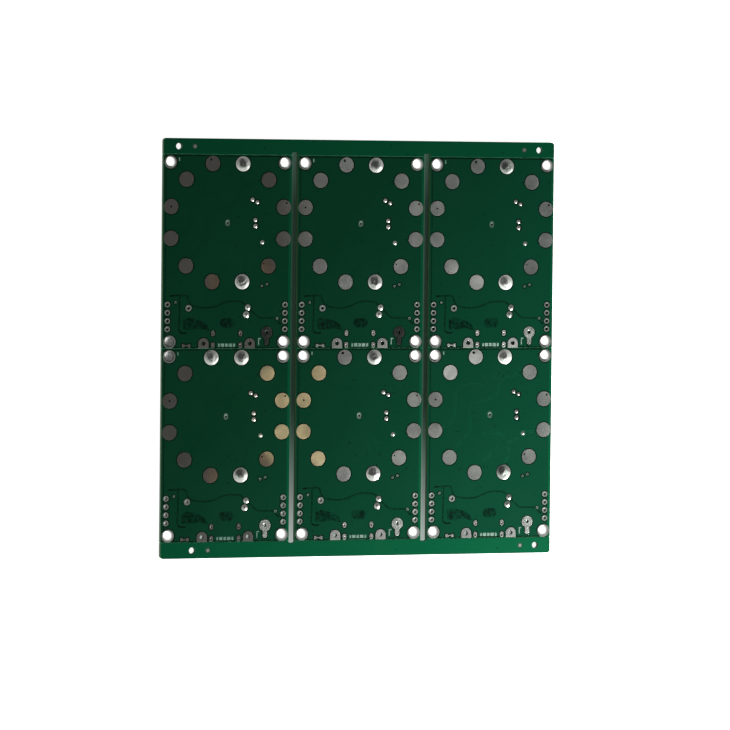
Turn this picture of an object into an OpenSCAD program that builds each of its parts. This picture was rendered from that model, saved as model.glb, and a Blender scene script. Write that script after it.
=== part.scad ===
// Bare printed circuit board panel: six equal boards in three columns and two rows,
// held between two waste rails. Routed slots part the columns, and V grooves part the rows.
// Every board has a ring of twelve round contact pads, four plated mounting holes,
// two edge rows of plated header holes and a small connector field at its lower edge.
//
// The origin is at the middle of the panel on its back face. +Z is the front face's outward
// normal and +Y points to the boards' upper edge. All sizes are in millimetres.

/* [Panel] */
// Width of one board
board_w = 41.6; // [41.4:0.1:60]
// Height of one board, from V groove to V groove
board_h = 60; // [58:0.5:90]
// Width of the routed slot between two columns of boards
slot_w = 2; // [1:0.1:6]
// Height of the waste rail above and below the boards
rail_h = 5; // [4:0.5:12]
// Finished thickness of the panel, over the solder mask on both faces
panel_t = 1.6; // [0.8:0.1:3.2]
// Radius of the panel's four corners
panel_corner_r = 1; // [0.3:0.1:2]
// How far each slot runs into the top rail
slot_into_top = 1; // [0.5:0.1:1.8]
// How far each slot runs into the bottom rail
slot_into_bottom = 0.6; // [0.5:0.1:1.8]
// Radius in the corners of each slot
slot_corner_r = 0.4; // [0.1:0.05:0.45]

/* [V grooves] */
// Laminate left between the front and the back groove
score_web = 0.5; // [0.2:0.05:0.6]
// Angle between the two flanks of a groove
score_angle = 32; // [20:2:60]

/* [Layers] */
// Thickness of the copper foil
foil_t = 0.035; // [0.018:0.001:0.07]
// Thickness of the tin on bare copper
tin_t = 0.02; // [0.005:0.005:0.05]
// Thickness of the solder mask over copper
mask_t = 0.03; // [0.025:0.005:0.06]
// How much lower the mask lies where the foil is etched away
mask_dip = 0.02; // [0.005:0.005:0.02]
// Wall of a plated hole's barrel, with its tin
barrel_t = 0.05; // [0.03:0.01:0.1]
// Gap between a pad and the solder mask round it
mask_gap = 0.075; // [0.05:0.005:0.15]
// Thickness of the legend ink
ink_t = 0.02; // [0.01:0.005:0.04]

/* [Contact ring] */
// Distance from a board's upper edge to the middle of the ring
ring_drop = 21; // [21:0.1:24]
// Radius of the circle through the middles of the pads
ring_r = 18.9; // [17:0.1:19]
// Diameter of a contact pad
pad_d = 4.65; // [3.6:0.05:4.75]
// Height of the solder dome on the first and the sixth pad
dome_h = 0.3; // [0.15:0.05:0.5]
// Gap between the rim of a pad and the hole in it
pad_hole_rim = 0.4; // [0.2:0.05:0.6]

/* [Mounting holes] */
// Diameter of a mounting hole
mount_hole_d = 3.2; // [2.5:0.1:3.4]
// Width of the tinned ring round a mounting hole
mount_ring_w = 0.4; // [0.2:0.05:0.5]
// Distance from a board's side edges to the mounting holes
mount_side = 2.3; // [2.1:0.05:3]
// Distance from a board's upper edge to the upper mounting holes
mount_top = 2.4; // [2:0.05:3]
// Distance from a board's lower edge to the lower mounting holes
mount_bottom = 2.1; // [2.1:0.05:2.5]

/* [Header] */
// Diameter of a header hole
header_hole_d = 0.95; // [0.8:0.05:1.1]
// Width of the tinned ring round a header hole
header_ring_w = 0.42; // [0.25:0.01:0.5]
// Distance between neighbouring header holes
header_pitch = 2.54; // [2.54:0.01:2.8]
// Distance between the two rows of header holes
header_span = 38.1; // [37.6:0.1:38.4]
// Sideways shift of the header from the board's middle
header_shift = -0.15; // [-0.3:0.05:0.3]
// Distance from a board's lower edge to the lowest header holes
header_bottom = 6.05; // [5.9:0.05:7]

/* [Connector field] */
// Width of an arched pad at the lower edge
arch_w = 3.3; // [2.4:0.1:3.6]
// Distance from the board's middle line to an arched pad
arch_x = 7.5; // [7.3:0.05:7.8]
// Height of the arch's centre and of its hole over the lower edge
arch_up = 1.6; // [1.5:0.05:1.9]
// Diameter of the hole in an arched pad
arch_hole_d = 1.3; // [0.8:0.1:1.5]
// Distance from the board's middle line to the small oval pads
oval_x = 4.45; // [4.2:0.05:4.6]
// Width of a small oval pad
oval_w = 1.15; // [1:0.05:1.3]
// Length of a small oval pad
oval_l = 1.8; // [1.6:0.1:1.9]
// Diameter of the hole in a small oval pad
oval_hole_d = 0.5; // [0.3:0.05:0.6]
// Height of the lower pair of oval pads over the lower edge
oval_up = 1.1; // [1.1:0.05:1.4]
// Distance from the lower to the upper pair of oval pads
oval_rise = 3.7; // [3.2:0.1:4.2]

/* [Key pad] */
// Distance from the board's middle line to the key pad
key_x = 13; // [12.6:0.1:13.3]
// Height of the key pad's round head over the lower edge
key_up = 5; // [4.6:0.1:5.4]
// Diameter of the head
key_d = 3.6; // [2.6:0.1:3.8]
// Diameter of the hole in the head
key_hole_d = 1.1; // [0.8:0.1:1.4]
// Width of the key pad's tail
key_tail_w = 1.4; // [1:0.1:1.6]
// Distance from the head's centre to the end of the tail
key_tail_l = 3.9; // [3:0.1:4]

/* [Test hole] */
// Distance from the board's middle line to the single test hole
test_x = -12.4; // [-12.8:0.1:-12]
// Height of the test hole over the lower edge
test_up = 12.55; // [12.2:0.05:13]
// Diameter of the test hole
test_hole_d = 0.95; // [0.8:0.05:1.1]
// Width of the tinned ring round the test hole
test_ring_w = 0.52; // [0.3:0.01:0.6]

/* [Vias] */
// Drill of a solder filled via
fill_drill_d = 0.6; // [0.4:0.05:0.65]
// Drill of an open via
via_drill_d = 0.3; // [0.2:0.05:0.35]
// Height of the solder on a filled via over its pad
bump_h = 0.22; // [0.1:0.02:0.3]

/* [Tooling holes and fiducials] */
// Diameter of a tooling hole in the rails
tool_d = 2; // [1.5:0.1:3]
// Distance from the panel's side edges to three of the tooling holes
tool_side = 5; // [4:0.1:8]
// The same for the lower left one, which is offset so that the panel can't be turned
tool_side_odd = 10.2; // [9:0.1:14]
// Distance from a tooling hole inwards to its fiducial
fiducial_step = 5.1; // [4:0.1:8]
// Diameter of a fiducial
fiducial_d = 1; // [0.8:0.1:1.5]
// Gap between a fiducial and the solder mask round it
fiducial_gap = 0.3; // [0.2:0.05:0.5]

/* [Etched pattern] */
// Copper free strip along a board's side edges
edge_clear_side = 0.9; // [0.5:0.05:1.1]
// Copper free strip along a board's upper and lower edge
edge_clear_end = 0.5; // [0.3:0.05:0.8]
// Gap between a pad and the copper plane round it
plane_gap = 0.35; // [0.2:0.05:0.4]
// Width of a track
track_w = 0.4; // [0.25:0.05:0.5]
// Gap between a track and the copper plane
track_gap = 0.25; // [0.15:0.05:0.3]
// Width of the gap between the upper and the lower copper plane
split_w = 0.5; // [0.3:0.05:0.6]

/* [Legend] */
// Width of a drawn stroke
stroke_w = 0.3; // [0.2:0.05:0.35]
// Height of the plain marks at the lower edge
mark_h = 1; // [0.8:0.05:1.1]
// Gap between two marks
mark_gap = 0.35; // [0.2:0.05:0.4]

/* [Hidden] */
$fn = 48;
// A cap is a small part of its ball, so the ball is drawn finely
CAP_FN = 240;
eps = 0.01;
over = 1;

columns = 3;
rows = 2;
boards = columns * rows;
ring_pads = 12;
header_holes = 4;

// Per board pieces. The rest of the panel is one sheet and its rails' coating.
BOARD_PIECES = [
    "copper_planes", "mask_front", "mask_back", "contact_pads", "mounting_sleeves",
    "header_sleeves", "vias", "edge_pads", "legend"
];

// Colours of the materials
LAMINATE = "darkkhaki";
MASK = "darkgreen";
TIN = "silver";
COPPER = "peru";
INK = "white";

// Layers from the back: mask over copper, laminate, copper, mask
coat_t = foil_t + mask_t;
laminate_z = coat_t;
laminate_t = panel_t - 2 * coat_t;
front_z = laminate_z + laminate_t;
pad_t = foil_t + tin_t;
back_pad_z = laminate_z - pad_t;
dip_z = coat_t - mask_dip;

column_pitch = board_w + slot_w;
boards_h = rows * board_h;
panel_w = columns * board_w + (columns - 1) * slot_w;
panel_h = boards_h + 2 * rail_h;

score_depth = (laminate_t - score_web) / 2;
score_w = 2 * score_depth * tan(score_angle / 2);
score_ys = [for (r = [0 : rows]) (r - rows / 2) * board_h];

slot_len = boards_h + slot_into_top + slot_into_bottom;
slot_y = (slot_into_top - slot_into_bottom) / 2;
slot_xs = [for (c = [1 : columns - 1]) (c - columns / 2) * column_pitch];

// A board's coated face lies between its slots and its grooves
face_h = board_h - score_w;

// Holes in the rails: [x, y], and the fiducials beside them
rail_y = boards_h / 2 + rail_h / 2;
tool_x = panel_w / 2 - tool_side;
tool_x_odd = panel_w / 2 - tool_side_odd;
TOOLING = [[-tool_x, rail_y], [tool_x, rail_y], [tool_x, -rail_y], [-tool_x_odd, -rail_y]];
FIDUCIALS = [for (t = TOOLING) [t[0] - sign(t[0]) * fiducial_step, t[1]]];

// Places on a board, measured from its middle
function from_top(d) = board_h / 2 - d;
function from_bottom(d) = d - board_h / 2;
ring_y = from_top(ring_drop);
function pad_angle(i) = (i - 0.5) * 360 / ring_pads;
function pad_at(i) = [ring_r * sin(pad_angle(i)), ring_y + ring_r * cos(pad_angle(i))];

mount_x = board_w / 2 - mount_side;
mount_ring_d = mount_hole_d + 2 * mount_ring_w;
MOUNTS = [
    for (sx = [-1, 1]) for (y = [from_top(mount_top), from_bottom(mount_bottom)]) [sx * mount_x, y]
];

header_ring_d = header_hole_d + 2 * header_ring_w;
HEADER = [
    for (sx = [-1, 1]) for (i = [0 : header_holes - 1])
        [header_shift + sx * header_span / 2, from_bottom(header_bottom + i * header_pitch)]
];

// Contact pads with a solder dome, on every board and on one board more
DOMED = [1, 6];
DOMED_EXTRA_BOARD = 4;
DOMED_EXTRA = 12;
function is_domed(b, i) =
    len(search(i, DOMED)) > 0 || (b == DOMED_EXTRA_BOARD && i == DOMED_EXTRA);

// Holes in contact pads: [pad, direction from its middle, 1 at the rim or 0 at the middle, bore]
PAD_HOLES = [[12, 118, 1, 0.9], [10, 0, 0, 0.6], [3, 54, 1, 0.6], [5, 154, 1, 0.5]];
function pad_hole_r(h) = h[2] * (pad_d / 2 - pad_hole_rim - h[3] / 2);
function pad_hole_at(h) = pad_at(h[0]) + pad_hole_r(h) * [cos(h[1]), sin(h[1])];
function pad_holes(b) = [for (h = PAD_HOLES) if (!is_domed(b, h[0])) h];
// Width of the ring on the back round a hole in a contact pad
pad_hole_ring = 0.25;

// Solder filled vias inside the ring, from the ring's middle: [x, y, pad]
RING_VIAS = [[8.05, 7.2, 1.3], [9.65, 6.4, 1.2], [9.05, 0.9, 1.3], [9.1, -1.0, 1.4], [11.35, -6, 1.3]];
// Solder filled vias of the connector field, from the lower edge: [x, up, pad]
FIELD_VIAS = [[6.8, 12.8, 1.8], [6.3, 10.6, 2.0]];
FILLED = concat(
    [for (v = RING_VIAS) [v[0], ring_y + v[1], v[2]]],
    [for (v = FIELD_VIAS) [v[0], from_bottom(v[1]), v[2]]]
);
// Open vias of the connector field, from the lower edge: [x, up, pad]
OPEN = [
    for (v = [[11.3, 19.45, 0.8], [12.95, 20, 0.85], [-16.6, 14.35, 0.8], [16.4, 9.4, 0.9]])
        [v[0], from_bottom(v[1]), v[2]]
];
// The long via at the ring's middle
long_via_w = 1.4;
long_via_l = 2;

ARCH_XS = [-arch_x, arch_x];
arch_y = from_bottom(arch_up);
// Width of the rings on the back round the holes of the connector field
back_ring_w = 0.4;
arch_ring_d = arch_hole_d + 2 * back_ring_w;
OVALS = [for (x = [-oval_x, oval_x]) for (u = [0, 1]) [x, from_bottom(oval_up + u * oval_rise)]];
oval_hole_drop = 0.2;
oval_ring_d = oval_hole_d + back_ring_w;
key_y = from_bottom(key_up);
key_ring_d = key_hole_d + 2 * back_ring_w;
test_ring_d = test_hole_d + 2 * test_ring_w;
test_at = [test_x, from_bottom(test_up)];

// The pair of jumper pads and the bare copper link between them
jumper_x = -13.1;
jumper_up = 0.95;
jumper_pitch = 1.95;
jumper_w = 0.75;
jumper_h = 0.95;
jumper_link_h = 0.3;
jumper_y = from_bottom(jumper_up);

// Place of board b
function board_at(b) = [
    ((b - 1) % columns - (columns - 1) / 2) * column_pitch,
    ((rows - 1) / 2 - floor((b - 1) / columns)) * board_h
];

// Every plated hole of board b: [[x, y], bore, ring on the back]
function plated(b) = concat(
    [for (p = MOUNTS) [p, mount_hole_d, mount_ring_d]],
    [for (p = HEADER) [p, header_hole_d, header_ring_d]],
    [for (h = pad_holes(b)) [pad_hole_at(h), h[3], h[3] + 2 * pad_hole_ring]],
    [for (v = FILLED) [[v[0], v[1]], fill_drill_d, v[2]]],
    [for (v = OPEN) [[v[0], v[1]], via_drill_d, v[2]]],
    [[[0, ring_y], fill_drill_d, long_via_w]],
    [for (x = ARCH_XS) [[x, arch_y], arch_hole_d, arch_ring_d]],
    [for (p = OVALS) [p - [0, oval_hole_drop], oval_hole_d, oval_ring_d]],
    [[[key_x, key_y], key_hole_d, key_ring_d]],
    [[test_at, test_hole_d, test_ring_d]]
);

// Flat shapes ---------------------------------------------------------------------------------

module rounded_rect(w, h, r) {
    square([w - 2 * r, h], center = true);
    square([w, h - 2 * r], center = true);
    for (sx = [-1, 1]) for (sy = [-1, 1]) translate([sx * (w / 2 - r), sy * (h / 2 - r)]) circle(r);
}

// A bar with round ends that stands upright
module upright_oval(w, l) {
    square([w, l - w], center = true);
    for (sy = [-1, 1]) translate([0, sy * (l - w) / 2]) circle(d = w);
}

module dot(p, d) {
    translate(p) circle(d = d);
}

// A path through a list of points, rounded by a spline with some steps from point to point
function spline_at(a, b, c, d, t) =
    0.5 * (2 * b + (c - a) * t + (2 * a - 5 * b + 4 * c - d) * t * t + (3 * b - a - 3 * c + d) * t * t * t);
function curve(p, steps = 2) = let (n = len(p) - 1) concat(
    [for (i = [0 : n - 1]) for (k = [0 : steps - 1])
        spline_at(p[max(i - 1, 0)], p[i], p[i + 1], p[min(i + 2, n)], k / steps)],
    [p[n]]
);
function unit(v) = v / norm(v);
function left_of(v) = [-v[1], v[0]];
// Half width vector at point i of a path: square to both stretches that meet there
function side_at(p, i, w) = let (
    n = len(p) - 1,
    before = unit(p[max(i, 1)] - p[max(i, 1) - 1]),
    after = unit(p[min(i, n - 1) + 1] - p[min(i, n - 1)]),
    middle = unit(before + after)
) left_of(middle) * w / 2 / (middle * after);

// A line of constant width along a path, with square ends
module stroke(p, w) {
    polygon(concat(
        [for (i = [0 : len(p) - 1]) p[i] + side_at(p, i, w)],
        [for (i = [len(p) - 1 : -1 : 0]) p[i] - side_at(p, i, w)]
    ));
}

// Flat outlines of a board's pads, in the board's own frame. grow widens each one all round.

module face() {
    square([board_w, face_h], center = true);
}

module contact_shapes(grow = 0) {
    for (i = [1 : ring_pads]) dot(pad_at(i), pad_d + 2 * grow);
}

module mount_shapes(grow = 0) {
    for (p = MOUNTS) dot(p, mount_ring_d + 2 * grow);
}

module header_shapes(grow = 0) {
    for (p = HEADER) dot(p, header_ring_d + 2 * grow);
}

module via_shapes(grow = 0) {
    for (v = concat(FILLED, OPEN)) dot([v[0], v[1]], v[2] + 2 * grow);
    translate([0, ring_y]) upright_oval(long_via_w + 2 * grow, long_via_l + 2 * grow);
}

module arch_shape(grow = 0) {
    circle(d = arch_w + 2 * grow);
    translate([-arch_w / 2 - grow, -arch_up]) square([arch_w + 2 * grow, arch_up]);
}

module key_shape(grow = 0) {
    circle(d = key_d + 2 * grow);
    translate([0, -(key_tail_l - key_tail_w / 2)]) circle(d = key_tail_w + 2 * grow);
    translate([-key_tail_w / 2 - grow, -(key_tail_l - key_tail_w / 2)])
        square([key_tail_w + 2 * grow, key_tail_l - key_tail_w / 2]);
}

module jumper_shapes(grow = 0) {
    for (sx = [-1, 1]) translate([jumper_x + sx * jumper_pitch / 2, jumper_y])
        square([jumper_w + 2 * grow, jumper_h + 2 * grow], center = true);
    translate([jumper_x, jumper_y]) square([jumper_pitch, jumper_link_h + 2 * grow], center = true);
}

module edge_shapes(grow = 0) {
    for (x = ARCH_XS) translate([x, arch_y]) arch_shape(grow);
    for (p = OVALS) translate(p) upright_oval(oval_w + 2 * grow, oval_l + 2 * grow);
    translate([key_x, key_y]) key_shape(grow);
    jumper_shapes(grow);
    dot(test_at, test_ring_d + 2 * grow);
}

module all_shapes(grow = 0) {
    contact_shapes(grow);
    mount_shapes(grow);
    header_shapes(grow);
    via_shapes(grow);
    edge_shapes(grow);
}

// Etched pattern under the front mask -----------------------------------------------------------

// The split between the upper and the lower copper plane, from the lower edge: [x, up]
SPLIT = [
    [-18.4, 16.3], [-15.3, 16.5], [-13, 16.4], [-12.4, 14.9], [-11.2, 13.3], [-8, 12.7], [-5, 12.8],
    [-3, 13.4], [-1, 14.3], [1, 14.7], [3, 14.7], [5.2, 14.3], [8.3, 11.5], [9.7, 10.1], [11.2, 9.55],
    [15.2, 9.5], [16.5, 8.5], [17.6, 7.6]
];
// The upright split beside the left header row, which hooks round under the bare corner
SPLIT_LEFT = [[-15.3, 16.3], [-15.3, 10], [-15.5, 6.4], [-15.1, 5.2], [-14.2, 4.8], [-12.8, 4.9]];
// The bare corner beside it, and the bare oval in the middle of the connector field
BARE_CORNER = [
    [-14.1, 9], [-12.4, 9.7], [-10.4, 9.2], [-8, 8.5], [-6.3, 7.3], [-5.6, 5.6], [-8.6, 6.3],
    [-12, 5.9], [-14, 6]
];
bare_oval_at = [0.2, 8];
bare_oval_w = 4.8;
bare_oval_h = 2.9;

// Tracks inside the ring, from the ring's middle: [x, y]. The first and last points lie on pads.
function on_ring(points) = [for (p = points) [p[0], p[1] + ring_y]];
function ring_track(points, pad) = curve(concat(on_ring(points), [pad_at(pad)]));
TRACK_TO_9 = ring_track(
    [[-2, 9.4], [-5.8, 9.5], [-9.3, 9.5], [-11, 8], [-11.5, 5], [-12, 0], [-13, -2.4]], 9);
TRACK_TO_8 = ring_track(
    [[-2, 4.4], [-4.5, 3.7], [-6.3, 3], [-6.8, -1], [-6.6, -4.5], [-8.4, -7], [-10.6, -9.6]], 8);
TRACK_TO_2 = ring_track(
    [[-2, 4.4], [0.5, 5.3], [2.8, 7], [3.3, 9], [4, 10.5], [5.5, 11.5], [8, 12.4]], 2);
TRACK_TO_4 = ring_track([[5.9, -8.9], [8.5, -8], [10.2, -6.8], [11.35, -6], [13.5, -5.6]], 4);
TRACK_TO_6 = ring_track([[-2.5, -6], [0.3, -5.8], [3, -5.9], [5, -7], [6.2, -9], [6.5, -11.2]], 6);
TRACK_TO_7 = ring_track([[1.2, -12], [-0.8, -13.6], [-2.4, -15.3]], 7);
TRACKS = [TRACK_TO_9, TRACK_TO_8, TRACK_TO_2, TRACK_TO_4, TRACK_TO_6, TRACK_TO_7];

function on_field(points) = [for (p = points) [p[0], from_bottom(p[1])]];

module planes() {
    difference() {
        square([board_w - 2 * edge_clear_side, board_h - 2 * edge_clear_end], center = true);
        for (t = TRACKS) stroke(t, track_w + 2 * track_gap);
        stroke(curve(on_field(SPLIT)), split_w);
        stroke(curve(on_field(SPLIT_LEFT)), split_w);
        polygon(on_field(BARE_CORNER));
        translate([bare_oval_at[0], from_bottom(bare_oval_at[1])])
            rotate(90) upright_oval(bare_oval_h, bare_oval_w);
    }
}

module copper_pattern() {
    difference() {
        union() {
            difference() {
                planes();
                all_shapes(plane_gap);
            }
            for (t = TRACKS) stroke(t, track_w);
        }
        all_shapes(0);
    }
}

// Solid parts of a board, in the board's own frame ---------------------------------------------

// A plated hole: a tinned barrel through the laminate with a ring on either face.
module sleeve(p, hole_d, front_d, back_d) {
    translate(p) difference() {
        union() {
            translate([0, 0, back_pad_z]) cylinder(d = back_d, h = pad_t);
            translate([0, 0, laminate_z]) cylinder(d = hole_d + 2 * barrel_t, h = laminate_t);
            translate([0, 0, front_z]) cylinder(d = front_d, h = pad_t);
        }
        translate([0, 0, back_pad_z - over]) cylinder(d = hole_d, h = panel_t + 2 * over);
    }
}

// A shallow round cap: the top of a large ball
module cap(d, h) {
    ball_r = (d * d / 4 + h * h) / (2 * h);
    intersection() {
        translate([0, 0, h - ball_r]) sphere(ball_r, $fn = CAP_FN);
        translate([-d, -d, 0]) cube([2 * d, 2 * d, 2 * h]);
    }
}

module trimmed_to_face() {
    intersection() {
        children();
        linear_extrude(panel_t + over) face();
    }
}

// The barrel and the back ring of a plated hole whose front pad has a shape of its own
module barrel_and_back_ring(p, hole_d, ring_d) {
    translate(p) {
        translate([0, 0, back_pad_z]) cylinder(d = ring_d, h = pad_t);
        translate([0, 0, laminate_z]) cylinder(d = hole_d + 2 * barrel_t, h = laminate_t);
    }
}

module bore(p, hole_d) {
    translate([p[0], p[1], -over]) cylinder(d = hole_d, h = panel_t + 2 * over);
}

module front_layer(z, t) {
    translate([0, 0, front_z + z]) linear_extrude(t) children();
}

module board_copper_planes() {
    front_layer(0, foil_t) copper_pattern();
}

module board_mask_front() {
    difference() {
        front_layer(0, coat_t) difference() {
            face();
            all_shapes(mask_gap);
        }
        front_layer(-eps, foil_t + eps) copper_pattern();
        front_layer(dip_z, over) difference() {
            face();
            copper_pattern();
        }
    }
}

module board_mask_back(b) {
    linear_extrude(coat_t) difference() {
        face();
        for (h = plated(b)) dot(h[0], h[2] + 2 * mask_gap);
    }
}

module board_contact_pads(b) {
    for (i = [1 : ring_pads]) {
        holes = [for (h = pad_holes(b)) if (h[0] == i) h];
        difference() {
            union() {
                translate([pad_at(i)[0], pad_at(i)[1], front_z]) cylinder(d = pad_d, h = pad_t);
                for (h = holes) barrel_and_back_ring(pad_hole_at(h), h[3], h[3] + 2 * pad_hole_ring);
            }
            for (h = holes) bore(pad_hole_at(h), h[3]);
        }
        if (is_domed(b, i))
            translate([pad_at(i)[0], pad_at(i)[1], front_z + pad_t]) cap(pad_d - mask_gap, dome_h);
    }
}

module board_mounting_sleeves() {
    trimmed_to_face() for (p = MOUNTS) sleeve(p, mount_hole_d, mount_ring_d, mount_ring_d);
}

module board_header_sleeves() {
    for (p = HEADER) sleeve(p, header_hole_d, header_ring_d, header_ring_d);
}

module filled_via(v) {
    translate([v[0], v[1]]) {
        translate([0, 0, back_pad_z]) cylinder(d = v[2], h = pad_t);
        translate([0, 0, laminate_z]) cylinder(d = fill_drill_d + 2 * barrel_t, h = laminate_t);
        translate([0, 0, front_z]) cylinder(d = v[2], h = pad_t);
        translate([0, 0, front_z + pad_t]) cap(v[2] - mask_gap, bump_h);
    }
}

module board_vias() {
    for (v = FILLED) filled_via(v);
    for (v = OPEN) sleeve([v[0], v[1]], via_drill_d, v[2], v[2]);
    difference() {
        union() {
            front_layer(0, pad_t) translate([0, ring_y]) upright_oval(long_via_w, long_via_l);
            barrel_and_back_ring([0, ring_y], fill_drill_d, long_via_w);
        }
        bore([0, ring_y], fill_drill_d);
    }
}

module arch_pad(x) {
    difference() {
        union() {
            front_layer(0, pad_t) intersection() {
                translate([x, arch_y]) arch_shape();
                face();
            }
            barrel_and_back_ring([x, arch_y], arch_hole_d, arch_ring_d);
        }
        bore([x, arch_y], arch_hole_d);
    }
}

module oval_pad(p) {
    hole_at = p - [0, oval_hole_drop];
    difference() {
        union() {
            front_layer(0, pad_t) translate(p) upright_oval(oval_w, oval_l);
            barrel_and_back_ring(hole_at, oval_hole_d, oval_ring_d);
        }
        bore(hole_at, oval_hole_d);
    }
}

module key_pad() {
    difference() {
        union() {
            front_layer(0, pad_t) translate([key_x, key_y]) key_shape();
            barrel_and_back_ring([key_x, key_y], key_hole_d, key_ring_d);
        }
        bore([key_x, key_y], key_hole_d);
    }
}

module board_edge_pads() {
    for (x = ARCH_XS) arch_pad(x);
    for (p = OVALS) oval_pad(p);
    key_pad();
    front_layer(0, pad_t) jumper_shapes();
    sleeve(test_at, test_hole_d, test_ring_d, test_ring_d);
}

// Plain ink marks in place of lettering: a row of bars, a bracket and a corner tick
MARK_WS = [0.5, 1.1, 0.8, 1.1, 0.6];
marks_w = sum(MARK_WS) + (len(MARK_WS) - 1) * mark_gap;
function sum(v, n = undef) = let (k = is_undef(n) ? len(v) : n) k == 0 ? 0 : v[k - 1] + sum(v, k - 1);
bracket_x = 10.4;
bracket_up = 2.2;
bracket_w = 0.7;
bracket_h = 2.1;
tick_x = 15.7;
tick_drop = 1.5;
tick_l = 1;

module board_legend() {
    front_layer(coat_t, ink_t) ink();
}

module ink() {
    for (i = [0 : len(MARK_WS) - 1])
        translate([sum(MARK_WS, i) + i * mark_gap - marks_w / 2, from_bottom(oval_up) - mark_h / 2])
            square([MARK_WS[i], mark_h]);
    translate([bracket_x, from_bottom(bracket_up)]) {
        square([stroke_w, bracket_h], center = true);
        translate([0, bracket_h / 2 - stroke_w]) square([bracket_w, stroke_w]);
    }
    translate([-tick_x, from_top(tick_drop)]) square([stroke_w, tick_l], center = true);
}

// The sheet and the rails ------------------------------------------------------------------------

module panel_outline() {
    rounded_rect(panel_w, panel_h, panel_corner_r);
}

module slots() {
    for (x = slot_xs) translate([x, slot_y]) rounded_rect(slot_w, slot_len, slot_corner_r);
}

// One V groove across the panel's front. Its flanks run on past the face by over.
module groove(y) {
    flare = over * tan(score_angle / 2);
    translate([-panel_w / 2 - over, y, front_z]) rotate([90, 0, 90]) linear_extrude(panel_w + 2 * over)
        polygon([
            [0, -score_depth], [score_w / 2 + flare, over], [-score_w / 2 - flare, over]
        ]);
}

module grooves() {
    for (y = score_ys) {
        groove(y);
        translate([0, 0, 2 * laminate_z + laminate_t]) mirror([0, 0, 1]) groove(y);
    }
}

module laminate() {
    color(LAMINATE) difference() {
        translate([0, 0, laminate_z]) linear_extrude(laminate_t) difference() {
            panel_outline();
            slots();
        }
        for (t = TOOLING) bore(t, tool_d);
        for (b = [1 : boards]) translate(board_at(b))
            for (h = plated(b)) bore(h[0], h[1] + 2 * barrel_t);
        grooves();
    }
}

// The coated face of both rails, less the slots, the tooling holes and what opens it
module rail_face() {
    difference() {
        panel_outline();
        square([panel_w + over, boards_h + score_w], center = true);
        slots();
        for (t = TOOLING) dot(t, tool_d);
    }
}

module rail_mask_front() {
    color(MASK) front_layer(0, coat_t) difference() {
        rail_face();
        for (f = FIDUCIALS) dot(f, fiducial_d + 2 * fiducial_gap);
    }
}

module rail_mask_back() {
    color(MASK) linear_extrude(coat_t) rail_face();
}

module fiducials() {
    color(TIN) for (f = FIDUCIALS) translate([f[0], f[1], front_z]) cylinder(d = fiducial_d, h = pad_t);
}

// One piece of board b
module board_piece(b, piece) {
    translate(board_at(b)) {
        if (piece == "copper_planes") color(COPPER) board_copper_planes();
        if (piece == "mask_front") color(MASK) board_mask_front();
        if (piece == "mask_back") color(MASK) board_mask_back(b);
        if (piece == "contact_pads") color(TIN) board_contact_pads(b);
        if (piece == "mounting_sleeves") color(TIN) board_mounting_sleeves();
        if (piece == "header_sleeves") color(TIN) board_header_sleeves();
        if (piece == "vias") color(TIN) board_vias();
        if (piece == "edge_pads") color(TIN) board_edge_pads();
        if (piece == "legend") color(INK) board_legend();
    }
}

laminate();
rail_mask_front();
rail_mask_back();
fiducials();
for (b = [1 : boards]) for (p = BOARD_PIECES)
    board_piece(b, p);
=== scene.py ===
from functools import reduce
from math import asin, cos, degrees, radians, sin, tau

import bmesh
import bpy
from mathutils import Euler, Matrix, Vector


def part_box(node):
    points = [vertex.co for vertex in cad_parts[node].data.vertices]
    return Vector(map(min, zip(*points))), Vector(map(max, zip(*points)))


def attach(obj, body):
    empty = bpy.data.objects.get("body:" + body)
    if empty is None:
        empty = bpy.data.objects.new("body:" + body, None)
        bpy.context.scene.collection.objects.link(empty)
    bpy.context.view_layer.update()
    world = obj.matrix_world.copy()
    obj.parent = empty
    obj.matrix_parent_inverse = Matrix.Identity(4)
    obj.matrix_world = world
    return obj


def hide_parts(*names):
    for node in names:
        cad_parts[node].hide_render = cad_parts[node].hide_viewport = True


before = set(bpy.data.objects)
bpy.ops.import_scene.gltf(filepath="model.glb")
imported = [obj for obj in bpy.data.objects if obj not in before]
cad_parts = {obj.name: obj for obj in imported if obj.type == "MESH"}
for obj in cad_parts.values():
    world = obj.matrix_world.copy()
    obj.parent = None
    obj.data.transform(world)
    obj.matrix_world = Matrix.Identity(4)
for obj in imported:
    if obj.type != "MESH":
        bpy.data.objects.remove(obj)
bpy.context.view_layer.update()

# Camera: a long lens that stands well above the front face, a little to the panel's left, so
# that the right hand walls of the holes and slots show. Lengths are in metres throughout.
CAMERA_AIM = Vector((0.0018, -0.0052, 0.0016))
CAMERA_TURN = Euler((radians(-2.448), radians(-18.983), radians(0.601)))
CAMERA_DISTANCE = 1.5218
CAMERA_LENS = 240

camera_data = bpy.data.cameras.new("camera")
camera_data.lens = CAMERA_LENS
camera = bpy.data.objects.new("camera", camera_data)
camera.location = CAMERA_AIM + CAMERA_TURN.to_matrix() @ Vector((0, 0, CAMERA_DISTANCE))
camera.rotation_euler = CAMERA_TURN
bpy.context.scene.collection.objects.link(camera)
bpy.context.scene.camera = camera

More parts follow.
